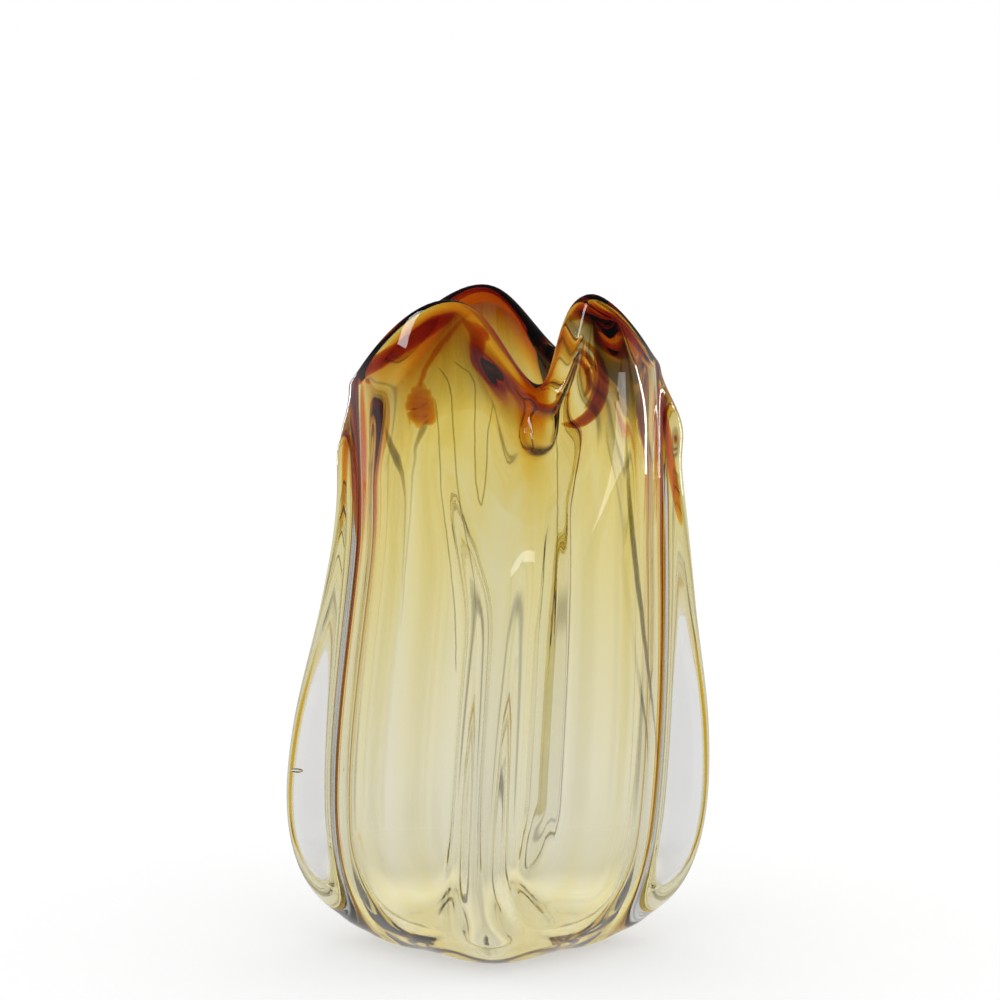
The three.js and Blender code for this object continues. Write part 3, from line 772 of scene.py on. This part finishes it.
def closed(name, columns, material, poles=True):
    """Closed mesh from columns of points, which meet at both ends where it has poles, shaded smooth."""
    count, rows = columns.shape[:2]
    index = np.arange(count * rows).reshape(count, rows)
    if poles:
        index[:, 0] = index[0, 0]
        index[:, -1] = index[0, -1]
    following = np.roll(index, -1, axis=0)
    quads = []
    for row in range(rows - 1 if poles else rows):
        up = (row + 1) % rows
        corners = (index[:, row], following[:, row], following[:, up], index[:, up])
        for quad in zip(*(corner.tolist() for corner in corners)):
            quads.append([v for n, v in enumerate(quad) if v != quad[n - 1]])
    points = fitted(columns.reshape(-1, 3))
    used = sorted({v for quad in quads for v in quad})
    numbers = {v: n for n, v in enumerate(used)}
    mesh = bpy.data.meshes.new(name)
    mesh.from_pydata([tuple(points[v]) for v in used], [], [[numbers[v] for v in quad] for quad in quads])
    mesh.validate()
    mesh.polygons.foreach_set("use_smooth", np.ones(len(mesh.polygons), bool))
    mesh.materials.append(material)
    return add_object(name, mesh)


# Nodes

def grey(level):
    """A neutral colour."""
    return (level, level, level, 1)


def feed(tree, socket, value):
    """Sets a socket to a value, or links an output to it."""
    if isinstance(value, bpy.types.NodeSocket):
        tree.links.new(value, socket)
    else:
        socket.default_value = value


def maths(tree, operation, *values):
    """A Math node's result."""
    node = tree.nodes.new("ShaderNodeMath")
    node.operation = operation
    for socket, value in zip(node.inputs, values):
        feed(tree, socket, value)
    return node.outputs[0]


def smooth_range(tree, value, start, end, low=0.0, high=1.0):
    """A number that goes smoothly from low to high while the value goes from start to end."""
    node = tree.nodes.new("ShaderNodeMapRange")
    node.interpolation_type = "SMOOTHSTEP"
    settings = {"Value": value, "From Min": start, "From Max": end, "To Min": low, "To Max": high}
    for name, setting in settings.items():
        feed(tree, node.inputs[name], setting)
    return node.outputs["Result"]


def mixed(tree, kind, share, first, second):
    """A mix of two numbers or of two colours."""
    node = tree.nodes.new("ShaderNodeMix")
    node.data_type = kind
    first_socket, second_socket, result = MIX_SOCKETS[kind]
    feed(tree, node.inputs[0], share)
    feed(tree, node.inputs[first_socket], first)
    feed(tree, node.inputs[second_socket], second)
    return node.outputs[result]


# Materials

def node_material(name):
    """A new material, with its tree, shader and output."""
    material = bpy.data.materials.new(name)
    material.use_nodes = True
    tree = material.node_tree
    return material, tree, tree.nodes["Principled BSDF"], tree.nodes["Material Output"]


def absorb(tree, out, loss):
    """Plain absorption: the loss is what red, green and blue lose in a millimetre."""
    density = MM_PER_METRE * max(loss)
    volume = tree.nodes.new("ShaderNodeVolumeAbsorption")
    volume.inputs["Color"].default_value = (*[1 - MM_PER_METRE * part / density for part in loss], 1)
    volume.inputs["Density"].default_value = density
    tree.links.new(volume.outputs["Volume"], out.inputs["Volume"])


def polished(name, ior, loss=None):
    """Clear glass with a polished face, which may absorb some light."""
    material, tree, shader, out = node_material(name)
    shader.inputs["Base Color"].default_value = grey(1)
    shader.inputs["Roughness"].default_value = 0.0
    shader.inputs["IOR"].default_value = ior
    shader.inputs["Transmission Weight"].default_value = 1.0
    if loss:
        absorb(tree, out, loss)
    return material, shader


def clear_glass():
    """The vessel's glass, nearly colourless."""
    material, _ = polished("clear_glass", GLASS_IOR, CLEAR_LOSS)
    return material


def tinted_glass(name, loss):
    """Colour inside the glass: no bend and no shine of its own, it only takes light away."""
    material, shader = polished(name, 1.0, loss)
    shader.inputs["Specular IOR Level"].default_value = 0.0
    return material


def bubble_air():
    """Air in the glass: it bends light the other way."""
    material, _ = polished("bubble_air", 1 / GLASS_IOR)
    return material


def floor_material():
    """Pale floor in the room's light, with a lift that scattered light doesn't meet, and a painted pool of
    light near the vase where the glass would see its shadow.
    """
    material, tree, shader, out = node_material("floor")
    shader.inputs["Base Color"].default_value = grey(FLOOR_COLOUR)
    shader.inputs["Roughness"].default_value = 1.0
    shader.inputs["Specular IOR Level"].default_value = 0.0
    rays = tree.nodes.new("ShaderNodeLightPath").outputs
    where = tree.nodes.new("ShaderNodeNewGeometry")
    away = tree.nodes.new("ShaderNodeVectorMath")
    away.operation = "LENGTH"
    tree.links.new(where.outputs["Position"], away.inputs[0])
    # Painted light: near the vase, glass rays see a brighter floor in place of the vase's shadow
    under = smooth_range(tree, away.outputs["Value"], *FLOOR_PAINTED_LIGHT_REACH, FLOOR_PAINTED_LIGHT_UNDER, FLOOR_LIFT)
    level = mixed(tree, "FLOAT", rays["Is Camera Ray"], under, FLOOR_LIFT)
    level = maths(tree, "MULTIPLY", maths(tree, "SUBTRACT", 1, rays["Is Diffuse Ray"]), level)
    level = maths(tree, "MULTIPLY_ADD", rays["Is Camera Ray"], FLOOR_DIRECT, level)
    lift = tree.nodes.new("ShaderNodeEmission")
    feed(tree, lift.inputs["Strength"], level)
    both = tree.nodes.new("ShaderNodeAddShader")
    tree.links.new(shader.outputs["BSDF"], both.inputs[0])
    tree.links.new(lift.outputs["Emission"], both.inputs[1])
    tree.links.new(both.outputs[0], out.inputs["Surface"])
    return material


def card_ramp(tree, turn):
    """The ring's brightness by the turn from the back, where 1 is the front, with its dark cards."""
    ramp = tree.nodes.new("ShaderNodeValToRGB")
    ramp.color_ramp.interpolation = "LINEAR"
    elements = ramp.color_ramp.elements
    elements[0].position, elements[0].color = 0, grey(TENT_LEVEL)
    elements[1].position, elements[1].color = 1, grey(TENT_FRONT)
    for middle, half, level in TENT_CARDS:
        reach = half + CARD_EDGE
        for off, value in ((-reach, TENT_LEVEL), (-half, level), (half, level), (reach, TENT_LEVEL)):
            elements.new((middle + off) / 180).color = grey(value)
    feed(tree, ramp.inputs["Fac"], turn)
    return ramp.outputs["Color"]


def tent_material():
    """Light of the ring: its cards reach down to near the floor, weaker on the left, and dusk is above."""
    material = bpy.data.materials.new("light_tent")
    material.use_nodes = True
    tree = material.node_tree
    tree.nodes.clear()
    where = tree.nodes.new("ShaderNodeNewGeometry")
    parts = tree.nodes.new("ShaderNodeSeparateXYZ")
    tree.links.new(where.outputs["Position"], parts.inputs["Vector"])
    x, y, z = (parts.outputs[axis] for axis in "XYZ")
    turn = maths(tree, "DIVIDE", maths(tree, "ABSOLUTE", maths(tree, "ARCTAN2", x, y)), math.pi)
    side = smooth_range(tree, x, -TENT_RADIUS / 2, 0.0, low=LEFT_CARDS)
    rise = smooth_range(tree, z, 0.0, TENT_CLEAR)
    share = maths(tree, "MULTIPLY", rise, side)
    ring = mixed(tree, "RGBA", share, grey(TENT_FOOT), card_ramp(tree, turn))
    top = smooth_range(tree, z, TENT_FADE, TENT_TOP)
    glow = tree.nodes.new("ShaderNodeEmission")
    feed(tree, glow.inputs["Color"], mixed(tree, "RGBA", top, ring, grey(ROOM_LEVEL)))
    out = tree.nodes.new("ShaderNodeOutputMaterial")
    tree.links.new(glow.outputs[0], out.inputs["Surface"])
    return material


# Stage

def add_floor():
    """The floor that the vase stands on."""
    mesh = bpy.data.meshes.new("floor")
    corners = [(x * FLOOR_HALF, y * FLOOR_HALF, 0) for x, y in ((-1, -1), (1, -1), (1, 1), (-1, 1))]
    mesh.from_pydata(corners, [], [(0, 1, 2, 3)])
    mesh.materials.append(floor_material())
    floor = add_object("floor", mesh)
    floor.location.z = -FLOOR_DROP


def add_tent():
    """A pale ring with narrow dark cards, which only the glass sees."""
    points, faces = [], []
    for side, turn in enumerate(turns(TENT_SIDES)):
        points += [(TENT_RADIUS * math.cos(turn), TENT_RADIUS * math.sin(turn), z) for z in (0.0, TENT_TOP)]
        following = (side + 1) % TENT_SIDES
        faces.append((2 * side, 2 * following, 2 * following + 1, 2 * side + 1))
    mesh = bpy.data.meshes.new("light_tent")
    mesh.from_pydata(points, [], faces)
    mesh.materials.append(tent_material())
    tent = add_object("light_tent", mesh)
    tent.visible_camera = False
    tent.visible_diffuse = False
    tent.visible_shadow = False


def add_room():
    """World: plain white to the camera and the floor, and a quieter room overhead to the glass."""
    world = bpy.data.worlds.new("room")
    bpy.context.scene.world = world
    world.use_nodes = True
    tree = world.node_tree
    tree.nodes.clear()
    rays = tree.nodes.new("ShaderNodeLightPath").outputs
    either = tree.nodes.new("ShaderNodeMixShader")
    feed(tree, either.inputs[0], maths(tree, "MAXIMUM", rays["Is Glossy Ray"], rays["Is Transmission Ray"]))
    for socket, level in zip(either.inputs[1:], (WHITE_LEVEL, ROOM_LEVEL)):
        light = tree.nodes.new("ShaderNodeBackground")
        light.inputs["Color"].default_value = grey(1)
        light.inputs["Strength"].default_value = level
        tree.links.new(light.outputs[0], socket)
    out = tree.nodes.new("ShaderNodeOutputWorld")
    tree.links.new(either.outputs[0], out.inputs["Surface"])


def look(obj, target):
    """Turns a camera or lamp towards a place."""
    obj.rotation_euler = (target - obj.location).to_track_quat("-Z", "Y").to_euler()


def add_lamp(name, turn, rise, target, distance, size, watts):
    """A soft box aimed at the target, which only mirrored light meets."""
    data = bpy.data.lights.new(name, "AREA")
    data.shape = "RECTANGLE"
    data.size, data.size_y = size
    data.energy = watts
    lamp = add_object(name, data)
    turn, rise = math.radians(turn), math.radians(rise)
    way = Vector((math.sin(turn) * math.cos(rise), math.cos(turn) * math.cos(rise), math.sin(rise)))
    lamp.location = Vector(target) + way * distance
    look(lamp, Vector(target))
    lamp.visible_transmission = False
    lamp.visible_camera = False
    lamp.visible_diffuse = False


def add_camera():
    """The camera at the photograph's angle."""
    data = bpy.data.cameras.new("camera")
    camera = add_object("camera", data)
    bpy.context.scene.camera = camera
    rise = math.radians(CAMERA_RISE)
    aim = Vector(CAMERA_AIM)
    camera.location = aim + Vector((0, -CAMERA_DISTANCE * math.cos(rise), CAMERA_DISTANCE * math.sin(rise)))
    look(camera, aim)
    data.sensor_width = SENSOR_WIDTH
    data.lens = SENSOR_WIDTH * CAMERA_DISTANCE / FRAME_WIDTH
    data.shift_x, data.shift_y = CAMERA_SHIFT


# Pieces of the vase, each with its node and slot

def layer_pieces(vessel, dark, quick):
    """The vessel, with the lining and the lip glass inside it."""
    amber = tinted_glass("amber_glass", AMBER_LOSS)
    lining = lining_points(*(LINING_MESH_QUICK if quick else LINING_MESH))
    lip = lip_points(*(LIP_MESH_QUICK if quick else LIP_MESH))
    return [(closed("vessel_glass", vessel, clear_glass()), CASING),
            (closed("lining_glass", lining, amber), LINING),
            (closed("lip_glass", lip, dark, poles=False), LIP)]


def swirl_pieces(sheet):
    """The nested arcs in the right fold, and the line along the roll's edge."""
    wine = tinted_glass("wine_glass", WINE_LOSS)
    routes = [(name, arc_spots(*arc), radii) for name, arc, radii in SWIRLS] + [ROLL_EDGE]
    pieces = []
    for name, spots, radii in routes:
        points = vein_points(sheet, spots, radii, SWIRL_FLATNESS, **SWIRL_STYLE)
        pieces.append((closed(f"lip_{name}", points, wine), LIP))
    return pieces


def vein_pieces(sheet, dark):
    """The veins under the crests, and the fleck with its stem."""
    pieces = []
    for name, spots, radii, flatness in VEINS:
        points = vein_points(sheet, spots, radii, flatness, **VEIN_STYLE)
        pieces.append((closed(f"lip_{name}", points, dark), LIP))
    return pieces


def painted_shade_line_pieces(sheet):
    """Dark lines under the front face: painted shade in place of the dark images that the glass bends in."""
    painted_shade = tinted_glass("painted_shade_glass", PAINTED_SHADE_LOSS)
    pieces = []
    for name, pixels, radii, flatness in PAINTED_SHADE_LINES:
        spots = [photo_spot(x, y) for x, y in pixels]
        points = vein_points(sheet, spots, radii, flatness, **LINE_STYLE)
        pieces.append((closed(f"painted_shade_line_{name}", points, painted_shade), CASING))
    return pieces


def finger_pieces():
    """The orange glass in the side ribs."""
    orange = tinted_glass("orange_glass", ORANGE_LOSS)
    return [(closed(name, finger_points(*shape), orange), LIP) for name, *shape in FINGERS]


# The vase

vessel = vessel_points(*VESSEL_MESH)
FORM_LOW = vessel.reshape(-1, 3).min(0)
FORM_HIGH = vessel.reshape(-1, 3).max(0)
dark_glass = tinted_glass("dark_amber_glass", DARK_LOSS)
front = Sheet(outer_face)

layers = layer_pieces(vessel, dark_glass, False)
swirls = swirl_pieces(front)
veins = vein_pieces(Sheet(middle_face), dark_glass)
# Painted shade: dark lines under the front face
lines = painted_shade_line_pieces(front)
bubble = (closed("bubble", bubble_points(), bubble_air()), CASING)
fingers = finger_pieces()
for piece, (node, slot) in (*lines, *swirls, *veins, bubble, *fingers, *layers):
    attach(piece, "root")
    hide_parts(node)

# Its stage, light and camera

add_floor()
add_room()
add_tent()
add_camera()
for lamp in LAMPS:
    add_lamp(*lamp)

scene = bpy.context.scene
scene.view_settings.view_transform = "Standard"
scene.cycles.max_bounces = 40
scene.cycles.transmission_bounces = 40
scene.cycles.glossy_bounces = 12
scene.cycles.transparent_max_bounces = 16
